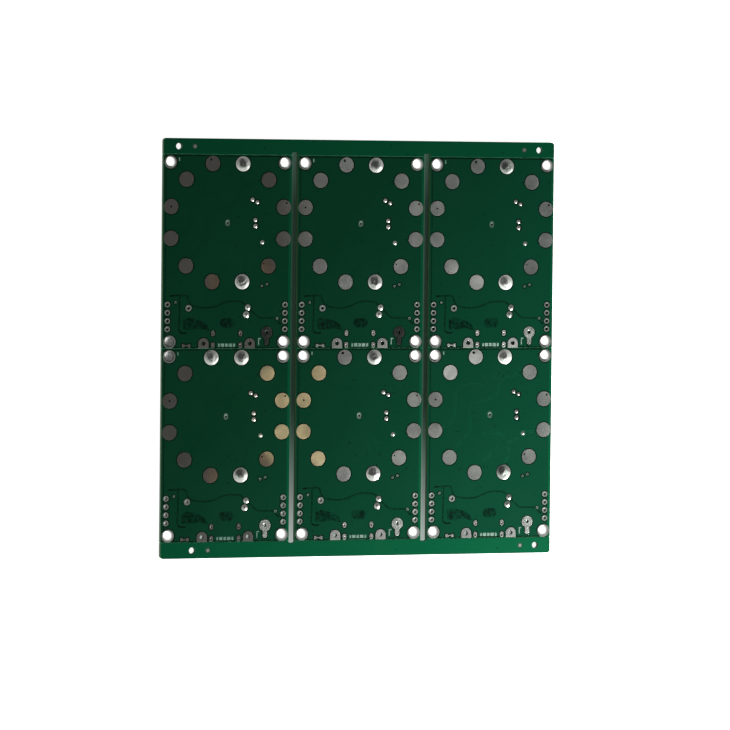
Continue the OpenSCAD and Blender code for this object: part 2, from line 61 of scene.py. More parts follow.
# Laminate: one sheet of woven glass in epoxy resin, pressed, drilled, routed and V grooved.
# It shows on the sheet's edges and in the slots, where the cut glass layers read as fine pale
# lines, and in the grooves, whose walls are painted lighter green, most where a wall faces away
# from the lamps: painted light.
BOARD_HEIGHT = 0.060
SLOT_WIDTH = 0.002
GROOVE_HALF = 0.0003
GLASS_LAYERS = 7
SKIN = 0.000001
EDGE_COLOUR = (0.070, 0.140, 0.070, 1)
GLASS_COLOUR = (0.170, 0.270, 0.145, 1)
FACE_COLOUR = (0.018, 0.042, 0.022, 1)
GROOVE_UPPER_WALL_PAINTED_LIT = (0.050, 0.230, 0.120, 1)
GROOVE_LOWER_WALL_PAINTED_LIT = (0.100, 0.420, 0.240, 1)


class Nodes:
    """A node tree, wired as it is written down. An input is given as a value or as a socket."""
    COMMON = ("Clamp", "CombineXYZ", "Math", "SeparateXYZ", "TexNoise", "VectorMath")

    def put(self, value, socket):
        if isinstance(value, bpy.types.NodeSocket):
            self.tree.links.new(value, socket)
        else:
            socket.default_value = value

    def add(self, kind, inputs=(), **settings):
        """Adds a node and gives back its outputs."""
        prefix = "ShaderNode" if kind in self.COMMON else self.prefix
        node = self.tree.nodes.new(prefix + kind)
        for name, value in settings.items():
            setattr(node, name, value)
        for key, value in dict(inputs).items():
            self.put(value, node.inputs[key])
        return node.outputs

    def math(self, operation, a, b=0.0, c=0.0):
        return self.add("Math", {0: a, 1: b, 2: c}, operation=operation)[0]

    def plus(self, start, share, size):
        """The start and this share of a size."""
        return self.math("MULTIPLY_ADD", size, share, start)

    def minus(self, a, b):
        return self.math("SUBTRACT", a, b)

    def times(self, *factors):
        return reduce(lambda a, b: self.math("MULTIPLY", a, b), factors)

    def highest(self, *values):
        return reduce(lambda a, b: self.math("MAXIMUM", a, b), values)

    def above(self, value, limit):
        return self.math("GREATER_THAN", value, limit)

    def below(self, value, limit):
        return self.math("LESS_THAN", value, limit)

    def distance(self, x, y):
        return self.math("SQRT", self.plus(self.times(x, x), y, y))


class Shades(Nodes):
    """The nodes of a material or a world, with a pattern's usual steps."""
    prefix = "ShaderNode"

    def __init__(self, owner):
        owner.use_nodes = True
        self.owner = owner
        self.tree = owner.node_tree
        self.shader = next(node for node in self.tree.nodes
                           if node.type in ("BSDF_PRINCIPLED", "BACKGROUND"))

    def places(self):
        """Object coordinates, whole and as x, y and z."""
        place = self.add("TexCoord")["Object"]
        return (place, *self.add("SeparateXYZ", {0: place}))

    def fold(self, value, pitch):
        """How far a place lies from the middle of its own repeat, one of which is at zero."""
        return self.math("WRAP", value, pitch / 2, -pitch / 2)

    def unsigned(self, value):
        return self.math("ABSOLUTE", value)

    def ramp(self, value, low, high, to_low=0.0, to_high=1.0):
        return self.add("MapRange", {0: value, 1: low, 2: high, 3: to_low, 4: to_high})[0]

    def blend(self, factor, a, b):
        return self.add("Mix", {0: factor, 2: a, 3: b})[0]

    def mix(self, factor, a, b):
        return self.add("Mix", {0: factor, 6: a, 7: b}, data_type="RGBA")[2]

    def noise(self, place, scale, detail=2.0, roughness=0.5):
        return self.add("TexNoise", {"Vector": place, "Scale": scale, "Detail": detail,
                                     "Roughness": roughness})[0]

    def bump(self, height, strength, distance):
        return self.add("Bump", {"Strength": strength, "Distance": distance,
                                 "Height": height})[0]

    def finish(self, **inputs):
        """Sets the shader's own inputs and gives back the material or world."""
        for name, value in inputs.items():
            self.put(value, self.shader.inputs[name.replace("_", " ")])
        return self.owner


shades = Shades(bpy.data.materials.new("glass_epoxy"))
place, x, y, z = shades.places()
low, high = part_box("laminate")
layer = (high.z - low.z) / GLASS_LAYERS
glass = shades.ramp(shades.math("PINGPONG", z, layer / 2), 0.1 * layer, 0.3 * layer)
fray = shades.noise(place, scale=2600, detail=3)
cut = shades.mix(shades.times(glass, fray), EDGE_COLOUR, GLASS_COLOUR)
on_face = shades.ramp(z, high.z - 2 * SKIN, high.z - SKIN)
cut = shades.mix(on_face, cut, FACE_COLOUR)
in_groove = shades.below(shades.unsigned(shades.fold(y, BOARD_HEIGHT)), GROOVE_HALF)
# Painted light: each groove wall's green is picked by the way it faces, lighter than the cut,
# lightest on the wall that faces away from the lamps
facing = shades.add("SeparateXYZ", {0: shades.add("NewGeometry")["Normal"]})[1]
groove = shades.mix(shades.ramp(facing, 0.0, 0.2), GROOVE_UPPER_WALL_PAINTED_LIT, GROOVE_LOWER_WALL_PAINTED_LIT)
laminate_material = shades.finish(
    Base_Color=shades.mix(in_groove, cut, groove), Roughness=0.75, Specular_IOR_Level=0.3,
    Normal=shades.bump(fray, strength=0.4, distance=0.00005))
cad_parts["laminate"].data.materials[0] = laminate_material

# Copper planes and tracks: foil etched away where the pattern has gaps. The solder mask
# covers it, and its face took solder in the narrow clearances that the mask leaves open.
BOARDS = range(1, 7)
COPPER_COLOUR = (0.73, 0.33, 0.17, 1)
COPPER_DARK = (0.62, 0.26, 0.13, 1)
COPPER_TINNED = (0.16, 0.17, 0.15, 1)

shades = Shades(bpy.data.materials.new("etched_copper"))
place, x, y, z = shades.places()
low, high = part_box("board_1_copper_planes")
grain = shades.noise(place, scale=4000)
on_face = shades.ramp(z, high.z - 4 * SKIN, high.z - SKIN)
copper_material = shades.finish(
    Base_Color=shades.mix(on_face, shades.mix(grain, COPPER_COLOUR, COPPER_DARK), COPPER_TINNED),
    Metallic=1.0, Roughness=shades.ramp(grain, 0, 1, to_low=0.3, to_high=0.5))
for b in BOARDS:
    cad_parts[f"board_{b}_copper_planes"].data.materials[0] = copper_material

# Solder mask: a green resin film, curtain coated over the whole face, exposed through a film
# and washed out over the pads. It is thinner and clearer where no copper lies under it, so
# the etched gaps read dark. Its colour is painted lighter towards the lower right, and the copper
# free strips along the rails and the right hand board edges are painted glowing: painted light.
MASK_OVER_COPPER = (0.0016, 0.0258, 0.0108, 1)
MASK_PAINTED_LIT = (0.0016, 0.0455, 0.0210, 1)
MASK_TRACK_PAINTED_SHEEN = (0.0040, 0.0720, 0.0345, 1)
MASK_AT_EDGE = (0.0010, 0.0400, 0.0160, 1)
MASK_AT_EDGE_PAINTED_LIT = (0.0012, 0.0800, 0.0320, 1)
MASK_DEEPEST = (0.0003, 0.0018, 0.0012, 1)
DUST_COLOUR = (0.0005, 0.0080, 0.0050, 1)
# The share of the film's light that is left in its dips
LIGHT_IN_GAP, LIGHT_IN_VOID, LIGHT_ROUND_PADS = 0.70, 0.25, 0.15
LIGHT_IN_PATCH, LIGHT_IN_BLOTCH = 0.80, 0.20
MASK_DIP = 0.00002
STRIP_WIDTH = 0.0009
RAIL_FADE = 0.0002
# Lines across the panel along which painted light grows towards the lower right, on the film and
# on its bare edges
PAINTED_LIGHT_SLOPE, PAINTED_LIGHT_START, PAINTED_LIGHT_END = -0.727, -0.030, 0.075
FLOW_UNEVEN = 0.15
EDGE_SLOPE, EDGE_SPAN, EDGE_CURVE = -0.8, 0.1105, 0.6
RING_DROP = 0.021
# Places on a board, across from its middle and up from the middle of its ring of pads
TRACKS_REACH = 0.0163
VIAS_LEFT, VIAS_BOTTOM, VIAS_TOP = 0.0070, -0.0050, 0.0086
FIELD_TOP, PATCH_TOP, END_ROWS = -0.0215, -0.0288, -0.0336
PATCH_MIDDLE, PATCH_HALF = -0.0053, 0.0092
SIDE_ROWS = 0.0169

low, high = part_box("board_1_mask_front")
board_width = high.x - low.x
column_pitch = board_width + SLOT_WIDTH
mask_top = high.z
shades = Shades(bpy.data.materials.new("solder_mask"))
place, x, y, z = shades.places()
across = shades.fold(x, column_pitch)
up = shades.minus(shades.math("WRAP", y, BOARD_HEIGHT, 0.0), BOARD_HEIGHT - RING_DROP)
raised = shades.ramp(z, mask_top - 0.75 * MASK_DIP, mask_top - 0.25 * MASK_DIP)
# Only each board's right hand edge strip is picked to be painted glowing: painted light on the
# side towards the lamps
in_strip = shades.ramp(across, board_width / 2 - 1.15 * STRIP_WIDTH,
                       board_width / 2 - 0.85 * STRIP_WIDTH)
in_rail = shades.ramp(shades.unsigned(y), BOARD_HEIGHT - RAIL_FADE, BOARD_HEIGHT)
flow = shades.noise(place, scale=60, detail=3)

# The film is painted lighter towards the lower right corner of the panel, with a little random
# unevenness: painted light
painted_light_drift = shades.ramp(shades.plus(x, PAINTED_LIGHT_SLOPE, y), PAINTED_LIGHT_START, PAINTED_LIGHT_END)
uneven_painted_light = shades.plus(shades.times(painted_light_drift, 1 - FLOW_UNEVEN), FLOW_UNEVEN, flow)
coated = shades.mix(uneven_painted_light, MASK_OVER_COPPER, MASK_PAINTED_LIT)
# The bare strips and rails are painted brighter towards the lower right: painted light
lit = shades.ramp(shades.plus(y, EDGE_SLOPE, x), EDGE_SPAN, -EDGE_SPAN)
lit = shades.times(lit, shades.plus(1 - EDGE_CURVE, EDGE_CURVE, lit))
edge = shades.mix(lit, MASK_AT_EDGE, MASK_AT_EDGE_PAINTED_LIT)

# Tracks lie inside the ring, clear of the vias at its right, and the dips by them are painted
# lighter, more so towards the lower right: a painted sheen
by_vias = shades.times(shades.above(across, VIAS_LEFT), shades.above(up, VIAS_BOTTOM),
                       shades.below(up, VIAS_TOP))
by_track = shades.times(shades.below(shades.distance(across, up), TRACKS_REACH),
                        shades.minus(1.0, by_vias))
patchy = shades.ramp(shades.noise(place, scale=700), 0.40, 0.55)
track_painted_sheen = shades.mix(shades.times(patchy, painted_light_drift, painted_light_drift), coated, MASK_TRACK_PAINTED_SHEEN)

# In a dip the film looks dark, in speckles or in blotches, and darkest close round the pads
speckle = shades.noise(place, scale=1300, detail=4, roughness=0.75)
light = shades.ramp(speckle, 0.42, 0.58, LIGHT_IN_GAP, LIGHT_IN_VOID)
blotch = shades.noise(place, scale=1000, detail=3, roughness=0.7)
blotch = shades.ramp(blotch, 0.40, 0.58, LIGHT_IN_PATCH, LIGHT_IN_BLOTCH)
in_patch = shades.times(shades.below(up, PATCH_TOP),
                        shades.math("COMPARE", across, PATCH_MIDDLE, PATCH_HALF))
light = shades.blend(in_patch, light, blotch)
round_pads = shades.highest(shades.above(up, FIELD_TOP), shades.below(up, END_ROWS),
                            shades.above(shades.unsigned(across), SIDE_ROWS))
light = shades.blend(round_pads, light, LIGHT_ROUND_PADS)
dip = shades.mix(by_track, shades.mix(light, MASK_DEEPEST, coated), track_painted_sheen)
# At the left edge of each board, the shaded side, the dips keep the plain film's colour, with
# none of the painted glow
shaded_side = shades.below(across, 0.75 * STRIP_WIDTH - board_width / 2)
dip = shades.mix(shaded_side, dip, coated)
bare = shades.mix(shades.highest(in_strip, in_rail), dip, edge)

film = shades.mix(shades.times(raised, shades.minus(1.0, in_rail)), bare, coated)
dust = shades.ramp(shades.noise(place, scale=850, detail=1), 0.72, 0.78, to_high=0.6)
peel = shades.noise(place, scale=1500)
mask_material = shades.finish(
    Base_Color=shades.mix(dust, film, DUST_COLOUR),
    Roughness=shades.ramp(flow, 0.3, 0.7, to_low=0.22, to_high=0.28), Specular_IOR_Level=0.05,
    Normal=shades.bump(peel, strength=0.12, distance=0.00002))
for name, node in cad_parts.items():
    if "_mask_" in name:
        node.data.materials[0] = mask_material

# Contact pads: twelve copper discs in a ring on every board, dipped in solder and levelled
# with hot air, so each has a soft rounded shoulder. Some have a plated hole through them, and
# the first and sixth pads kept a dome of solder, whose skin set a little uneven.
RING_RADIUS = 0.0189
RING_PADS = 12
PAD_RADIUS = 0.002325
PAD_SHOULDER = 0.00007
PAD_MOUTH = 0.000004
DOMED_PADS = (1, 6)
EXTRA_DOME = (4, 12)
DOME_HEIGHT = 0.00023
DOME_LUMPS = 0.00016
LUMP_SIZE = 0.0014
BARREL_WALL = 0.00005
MOUTH = 0.00005
# How far the middle of a quarter round lies inside its corner, as a share of its radius
ROUNDED = 0.29
# Pad, radius of its bore, direction (degrees) and distance of the bore from the pad's middle
PAD_BORES = ((12, 0.00045, 118, 0.001475), (10, 0.0003, 0, 0),
             (3, 0.0003, 54, 0.001625), (5, 0.00025, 154, 0.001675))
PAD_BACK_RING = 0.00025
TIN_COLOUR = (0.40, 0.40, 0.38, 1)
# The tin is a little darker towards the right of the panel
TIN_DARKER_RIGHT = (0.31, 0.32, 0.30, 1)
TIN_DARK_REFLECTION = (0.118, 0.104, 0.094, 1)
TIN_DARKEST_REFLECTION = (0.080, 0.074, 0.066, 1)
TIN_PALE_SHEEN = (0.80, 0.80, 0.76, 1)
TIN_WARM_REFLECTION = (0.90, 0.72, 0.40, 1)
TIN_BROWN_REFLECTION = (0.190, 0.140, 0.100, 1)
TIN_BLACK_REFLECTION = (0.016, 0.020, 0.016, 1)
# Colours painted into the bores below their bright mouths: painted shade in the narrow ones
BARREL_PAINTED_SHADE = (0.14, 0.13, 0.115, 1)
PAD_BORE_PAINTED_SHADE = (0.020, 0.020, 0.018, 1)
# Where the tin's tone changes across the panel, mostly by painted reflections: middle and reach
# of a patch, or where one sets in and is full
SHEEN_AT, SHEEN_REACH = (0.0380, 0.0060, 0), 0.024
WARM_REFLECTION_AT, WARM_REFLECTION_REACH = (-0.0200, -0.0205, 0), 0.021
BROWN_REFLECTION_AT, BROWN_REFLECTION_REACH = ((-0.0387, 0.0207, 0), (-0.0387, -0.0393, 0)), 0.0130
DARK_REFLECTION_ACROSS, DARKEST_REFLECTION_UP = (-0.006, -0.028), (0.020, -0.020)
DARKER_RIGHT_ACROSS = (0.015, 0.045)
BLACK_REFLECTION_ACROSS, BLACK_REFLECTION_UP = (0.030, 0.020), (-0.010, 0.0)
UPPER_ROW = -0.010
BARREL_FADE = 0.00005
BACK_FADE = (0.00005, 0.00012)
BARREL_ROUGHNESS = 0.9


class Growth(Nodes):
    """A Geometry Nodes tree with a named input for each size, given as a value or a type."""
    prefix = "GeometryNode"

    def __init__(self, name, **sizes):
        self.tree = bpy.data.node_groups.new(name, "GeometryNodeTree")
        face = self.tree.interface
        face.new_socket("Geometry", in_out="INPUT", socket_type="NodeSocketGeometry")
        self.sizes = sizes
        self.identifiers = {}
        for size, value in sizes.items():
            kind = value if isinstance(value, type) else type(value)
            kind = {int: "Int", float: "Float", bpy.types.Object: "Object"}.get(kind, "Material")
            socket = face.new_socket(size, in_out="INPUT", socket_type="NodeSocket" + kind)
            self.identifiers[size] = socket.identifier
        face.new_socket("Geometry", in_out="OUTPUT", socket_type="NodeSocketGeometry")
        self.inputs = self.tree.nodes.new("NodeGroupInput").outputs

    def at(self, x, y, z):
        return self.add("CombineXYZ", {0: x, 1: y, 2: z})[0]

    def repeat(self, piece, size=None):
        """The piece at every point of the mesh that the tree is laid on, made real."""
        scale = {"Scale": size} if size else {}
        placed = self.add("InstanceOnPoints", {"Points": self.inputs["Geometry"],
                                               "Instance": piece, **scale})
        return self.add("RealizeInstances", {"Geometry": placed[0]})[0]

    def end(self, geometry):
        finished = self.add("SetMaterial", {"Geometry": geometry,
                                            "Material": self.inputs["Finish"]})[0]
        self.put(finished, self.tree.nodes.new("NodeGroupOutput").inputs[0])

    def grow(self, places, radii=None, **sizes):
        """The tree's mesh at these places, as a plain mesh. radii widen each place's piece."""
        mesh = bpy.data.meshes.new(self.tree.name)
        mesh.from_pydata([tuple(p) for p in places], [], [])
        spread = mesh.attributes.new("spread", "FLOAT_VECTOR", "POINT")
        for i, value in enumerate(spread.data):
            value.vector = (radii[i], radii[i], 1) if radii else (1, 1, 1)
        holder = bpy.data.objects.new(self.tree.name, mesh)
        bpy.context.scene.collection.objects.link(holder)
        modifier = holder.modifiers.new("growth", "NODES")
        modifier.node_group = self.tree
        for size, value in {**self.sizes, **sizes}.items():
            modifier[self.identifiers[size]] = value
        evaluated = holder.evaluated_get(bpy.context.evaluated_depsgraph_get())
        result = bpy.data.meshes.new_from_object(evaluated)
        bpy.data.objects.remove(holder)
        return result


def one_piece(name, meshes, nodes, crease=35):
    """Joins meshes into one piece on the panel, in place of these CAD nodes."""
    finishes = []
    joined = bmesh.new()
    for mesh in meshes:
        start = len(joined.faces)
        joined.from_mesh(mesh)
        joined.faces.ensure_lookup_table()
        for face in joined.faces[start:]:
            finish = mesh.materials[face.material_index]
            if finish not in finishes:
                finishes.append(finish)
            face.material_index = finishes.index(finish)
            face.smooth = True
    whole = bpy.data.meshes.new(name)
    joined.to_mesh(whole)
    joined.free()
    for finish in finishes:
        whole.materials.append(finish)
    whole.set_sharp_from_angle(angle=radians(crease))
    piece = bpy.data.objects.new(name, whole)
    bpy.context.scene.collection.objects.link(piece)
    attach(piece, "root")
    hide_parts(*nodes)


low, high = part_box("laminate")
laminate_low, laminate_high = low.z, high.z
low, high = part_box("board_1_mounting_sleeves")
tin_back, tin_front = low.z, high.z
pad_thickness = tin_front - laminate_high


def tin_finish(name, roughness, lumps, lump_scale=180, depth=1.0, under=(0, 0, 0, 1),
               sheen=0.8, warm_reflection=0.85, dark_reflection=1.0, brown_reflection=0.0, black_reflection=0.0, barrel=BARREL_PAINTED_SHADE,
               upper_barrel=1.0, barrel_roughness=None, mouth=0.0001, upper_mouth=None):
    """Levelled solder: satin metal with a fine grain, cloudy, with painted reflections in places.

    Where depth is below 1, the colour under shows through. The next five say how strongly each
    painted reflection takes: a pale sheen, a warm one, a dark one on the left boards that is
    darkest towards the bottom, a brown one, and a nearly black one on the upper left boards. A
    bore is bright down to its mouth's depth, and below that has the barrel's colour painted in.
    On the three upper boards the mouth can be another depth, and the barrel can have just a
    share of its colour, painted darker.
    """
    shades = Shades(bpy.data.materials.new(name))
    place, x, y, z = shades.places()
    cloud = shades.noise(place, lump_scale, detail=3, roughness=0.6)
    grain = shades.noise(place, scale=6000, detail=3, roughness=0.7)

    def reflection_patch(middle, reach, strength):
        centred = shades.add("Mapping", {"Vector": place, "Location": middle},
                             vector_type="TEXTURE")[0]
        away = shades.add("VectorMath", {0: centred}, operation="LENGTH")["Value"]
        return shades.times(shades.ramp(away, 0.75 * reach, reach, 1, 0), strength)

    # Painted reflections: the tin's tone is set by where it lies on the panel, dark on the left
    # boards and darkest towards the bottom there, with patches of pale, warm, brown and nearly
    # black painted reflection
    bright = shades.mix(shades.ramp(x, *DARKER_RIGHT_ACROSS), TIN_COLOUR, TIN_DARKER_RIGHT)
    dark_reflection_colour = shades.mix(shades.ramp(y, *DARKEST_REFLECTION_UP), TIN_DARK_REFLECTION, TIN_DARKEST_REFLECTION)
    dark_reflection_share = shades.times(shades.ramp(x, *DARK_REFLECTION_ACROSS, 0, dark_reflection),
                          shades.ramp(cloud, 0.3, 0.7, to_low=0.7))
    colour = shades.mix(dark_reflection_share, bright, dark_reflection_colour)
    colour = shades.mix(reflection_patch(SHEEN_AT, SHEEN_REACH, sheen), colour, TIN_PALE_SHEEN)
    colour = shades.mix(reflection_patch(WARM_REFLECTION_AT, WARM_REFLECTION_REACH, warm_reflection), colour, TIN_WARM_REFLECTION)
    brown_reflection_share = shades.highest(*(reflection_patch(middle, BROWN_REFLECTION_REACH, brown_reflection) for middle in BROWN_REFLECTION_AT))
    colour = shades.mix(brown_reflection_share, colour, TIN_BROWN_REFLECTION)
    colour = shades.mix(depth, under, colour)
    # A nearly black painted reflection on the upper left boards
    black_reflection_share = shades.times(shades.ramp(y, *BLACK_REFLECTION_UP), shades.ramp(x, *BLACK_REFLECTION_ACROSS, 0, black_reflection))
    colour = shades.mix(black_reflection_share, colour, TIN_BLACK_REFLECTION)

    # Below a bore's bright mouth the barrel's colour is painted in, and on the upper boards it
    # can be painted darker still
    upper_row = shades.above(y, UPPER_ROW)
    raised = 0.0 if upper_mouth is None else mouth - upper_mouth
    deep = shades.ramp(shades.plus(z, -raised, upper_row), tin_front - mouth - BARREL_FADE,
                       tin_front - mouth, 1, 0)
    off_back = shades.ramp(z, *(tin_back + fade for fade in BACK_FADE))
    in_barrel = shades.times(deep, off_back)
    darker = (*(upper_barrel * part for part in barrel[:3]), 1)
    colour = shades.mix(in_barrel, colour, shades.mix(upper_row, barrel, darker))
    polish = shades.ramp(cloud, 0.3, 0.7, roughness - 0.03, roughness + 0.03)
    return shades.finish(
        Base_Color=colour, Metallic=1.0,
        Roughness=shades.blend(in_barrel, polish, barrel_roughness or roughness),
        Normal=shades.bump(shades.plus(cloud, 0.3, grain), lumps, distance=0.00004))


# The flat pads take each painted reflection, the brown one too
flat_tin = tin_finish("levelled_tin", roughness=0.23, lumps=0.35, brown_reflection=0.85,
                      barrel=PAD_BORE_PAINTED_SHADE, barrel_roughness=BARREL_ROUGHNESS, mouth=0.0)
domed_tin = tin_finish("domed_solder", roughness=0.13, lumps=0.15, dark_reflection=0.15)
board_middles = []
for b in BOARDS:
    low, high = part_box(f"board_{b}_mask_front")
    board_middles.append(Vector(((low.x + high.x) / 2, (low.y + high.y) / 2, 0)))

# One pad: a round surface drawn out of a grid, with a disc below. The rings of the grid crowd
# towards the rim, and the last three round off its shoulder and drop to the laminate.
CROWDING = 0.75
SHOULDER_RINGS = 3
SHOULDER_STEP = 0.7
SHOULDER_FALL = 0.008

pad = Growth("solder_pad", Radius=PAD_RADIUS, Thickness=pad_thickness, Shoulder=PAD_SHOULDER,
             Dome=0.0, Lumps=0.0, LumpSize=LUMP_SIZE, Seed=3.0, Rings=5, Segments=56,
             Finish=flat_tin)
size = pad.inputs
grid = pad.add("MeshGrid", {"Size X": 1.0, "Size Y": 1.0,
                            "Vertices X": pad.math("ADD", size["Rings"], 1.0),
                            "Vertices Y": pad.math("ADD", size["Segments"], 1.0)})[0]
outward, round_it = pad.add("SeparateXYZ", {0: pad.add("InputPosition")[0]})[:2]
ring = pad.times(pad.math("ADD", outward, 0.5), size["Rings"])
upper = pad.minus(size["Rings"], SHOULDER_RINGS)
step = pad.highest(pad.minus(ring, upper), 0.0)
inner = pad.math("POWER", pad.add("Clamp", {0: pad.math("DIVIDE", ring, upper)})[0], CROWDING)
radius = pad.times(inner, pad.minus(size["Radius"], size["Shoulder"]))
radius = pad.plus(radius, pad.math("MINIMUM", pad.times(step, SHOULDER_STEP), 1.0),
                  size["Shoulder"])
turn = pad.times(pad.math("ADD", round_it, 0.5), tau)
out = pad.math("DIVIDE", radius, size["Radius"])
swell = pad.minus(1.0, pad.times(out, out))
rim = pad.minus(1.0, pad.times(step, step, SHOULDER_FALL))
rim = pad.times(rim, pad.below(step, SHOULDER_RINGS - 0.5))
rise = pad.plus(pad.times(rim, size["Thickness"]), size["Dome"], swell)
marked = pad.add("StoreNamedAttribute", {"Geometry": grid, "Name": "swell", "Value": swell},
                 data_type="FLOAT", domain="POINT")[0]
top = pad.add("SetPosition", {
    "Geometry": marked,
    "Position": pad.at(pad.times(radius, pad.math("COSINE", turn)),
                       pad.times(radius, pad.math("SINE", turn)), rise)})[0]
base = pad.add("MeshCircle", {"Vertices": size["Segments"], "Radius": size["Radius"]},
               fill_type="NGON")[0]
base = pad.add("FlipFaces", {"Mesh": base})[0]
both = pad.add("JoinGeometry", {0: top})[0]
pad.put(base, both.node.inputs[0])
closed = pad.add("MergeByDistance", {"Geometry": both, "Distance": 1e-7})[0]
spread = pad.add("InputNamedAttribute", {"Name": "spread"}, data_type="FLOAT_VECTOR")[0]
real = pad.repeat(closed, spread)
wave = pad.add("TexNoise", {"Vector": pad.add("InputPosition")[0], "W": size["Seed"],
                            "Scale": pad.math("DIVIDE", 1.0, size["LumpSize"]), "Detail": 1.0},
               noise_dimensions="4D")[0]
swell = pad.add("InputNamedAttribute", {"Name": "swell"}, data_type="FLOAT")[0]
lump = pad.times(size["Lumps"], swell, pad.minus(wave, 0.5))
pad.end(pad.add("SetPosition", {"Geometry": real, "Offset": pad.at(0.0, 0.0, lump)})[0])

# One plated hole: the section of a tinned barrel with a ring on either face, swept round the
# hole. The section runs from the back up the bore, over the front ring and down outside the
# barrel. The front ring may sit off the bore's centre, as a contact pad does.
hole = Growth("plated_hole", Bore=0.0005, Ring=0.0009, BackRing=0.0009, Wall=BARREL_WALL,
              Back=tin_back, LaminateLow=laminate_low, LaminateHigh=laminate_high,
              Front=tin_front, Mouth=MOUTH, Shoulder=0.00012, OffsetX=0.0, OffsetY=0.0,
              Segments=32, Finish=flat_tin)
size = hole.inputs
bore, ring, front, mouth, shoulder = (
    size[name] for name in ("Bore", "Ring", "Front", "Mouth", "Shoulder"))
barrel = hole.math("ADD", bore, size["Wall"])
thickness = hole.minus(front, size["LaminateHigh"])
section = [
    (bore, size["Back"]),
    (bore, hole.minus(front, mouth)),
    (hole.plus(bore, ROUNDED, mouth), hole.plus(front, -ROUNDED, mouth)),
    (hole.math("ADD", bore, mouth), front),
    (hole.plus(bore, 1.3, mouth), front),
    (hole.plus(ring, -1.2, shoulder), front),
    (hole.plus(ring, -1.0, shoulder), front),
    (hole.plus(ring, -0.5, shoulder), hole.plus(front, -0.01, thickness)),
    (hole.plus(ring, -0.13, shoulder), hole.plus(front, -0.04, thickness)),
    (ring, size["LaminateHigh"]),
    (barrel, size["LaminateHigh"]),
    (barrel, size["LaminateLow"]),
    (size["BackRing"], size["LaminateLow"]),
    (size["BackRing"], size["Back"]),
]
pick = hole.add("IndexSwitch", data_type="VECTOR")[0].node
while len(pick.index_switch_items) < len(section):
    pick.index_switch_items.new()
hole.put(hole.add("InputIndex")[0], pick.inputs[0])
for i, (radius, level) in enumerate(section):
    hole.put(hole.at(hole.minus(radius, bore), hole.times(level, -1.0), 0.0), pick.inputs[1 + i])
profile = hole.add("MeshLine", {"Count": len(section)})[0]
profile = hole.add("SetPosition", {"Geometry": profile, "Position": pick.outputs[0]})[0]
profile = hole.add("MeshToCurve", {"Mesh": profile})[0]
profile = hole.add("SetSplineCyclic", {"Geometry": profile, "Cyclic": True})[0]
path = hole.add("CurvePrimitiveCircle", {"Resolution": size["Segments"], "Radius": bore})[0]
swept = hole.add("CurveToMesh", {"Curve": path, "Profile Curve": profile})[0]
x, y, z = hole.add("SeparateXYZ", {0: hole.add("InputPosition")[0]})
share = hole.math("DIVIDE", hole.minus(hole.distance(x, y), bore), hole.minus(ring, bore))
share = hole.add("Clamp", {0: share})[0]
inside = hole.below(z, hole.minus(size["LaminateHigh"], SKIN))
shift = hole.highest(inside, hole.minus(1.0, share))
moved = hole.add("SetPosition", {"Geometry": swept, "Offset": hole.at(
    hole.times(shift, size["OffsetX"]), hole.times(shift, size["OffsetY"]), 0.0)})[0]
hole.end(hole.repeat(moved))


def pad_at(b, i, level):
    """Where pad i of board b stands, counted clockwise from the top of the ring."""
    angle = (i - 0.5) * tau / RING_PADS
    middle = board_middles[b - 1]
    return Vector((middle.x + RING_RADIUS * sin(angle),
                   middle.y + BOARD_HEIGHT / 2 - RING_DROP + RING_RADIUS * cos(angle), level))


def is_domed(b, i):
    return i in DOMED_PADS or (b, i) == EXTRA_DOME


bored = [i for i, *rest in PAD_BORES]
every = [(b, i) for b in BOARDS for i in range(1, RING_PADS + 1)]
domed = [pad_at(b, i, laminate_high) for b, i in every if is_domed(b, i)]
plain = [pad_at(b, i, laminate_high) for b, i in every if not is_domed(b, i) and i not in bored]
meshes = [pad.grow(plain),
          pad.grow(domed, Dome=DOME_HEIGHT, Lumps=DOME_LUMPS, Rings=21, Segments=72,
                   Finish=domed_tin)]
for i, bore, direction, distance in PAD_BORES:
    places = [pad_at(b, i, 0) for b in BOARDS if not is_domed(b, i)]
    meshes.append(hole.grow(places, Bore=bore, Ring=PAD_RADIUS, BackRing=bore + PAD_BACK_RING,
                            Shoulder=PAD_SHOULDER, Mouth=PAD_MOUTH, Segments=56,
                            OffsetX=distance * cos(radians(direction)),
                            OffsetY=distance * sin(radians(direction))))
one_piece("contact_pads", meshes, [f"board_{b}_contact_pads" for b in BOARDS], crease=8)

# Mounting sleeves: the four corner holes of each board, drilled, plated through with copper
# and tinned with the pads, with a ring on either face.
MOUNT_BORE = 0.0016
MOUNT_RING = 0.002
MOUNT_SHOULDER = 0.00007
MOUNT_MOUTH = 0.0007
MOUNT_SIDE = 0.0023
MOUNT_TOP = 0.0024
MOUNT_BOTTOM = 0.0021
# The wide bores are painted a light grey, lighter than the sleeves' rings: painted light down the
# bore
WIDE_BARREL_PAINTED_LIGHT = (0.42, 0.43, 0.41, 1)

sleeve_tin = tin_finish("sleeve_tin", roughness=0.30, lumps=0.3, depth=0.55, sheen=0.0,
                        warm_reflection=0.0, dark_reflection=0.3, barrel=WIDE_BARREL_PAINTED_LIGHT, mouth=MOUNT_MOUTH)
places = [middle + Vector((side * (board_width / 2 - MOUNT_SIDE), rise, 0))
          for middle in board_middles for side in (-1, 1)
          for rise in (BOARD_HEIGHT / 2 - MOUNT_TOP, MOUNT_BOTTOM - BOARD_HEIGHT / 2)]
sleeves = hole.grow(places, Bore=MOUNT_BORE, Ring=MOUNT_RING, BackRing=MOUNT_RING,
                    Shoulder=MOUNT_SHOULDER, Segments=64, Finish=sleeve_tin)
one_piece("mounting_sleeves", [sleeves], [f"board_{b}_mounting_sleeves" for b in BOARDS],
          crease=8)

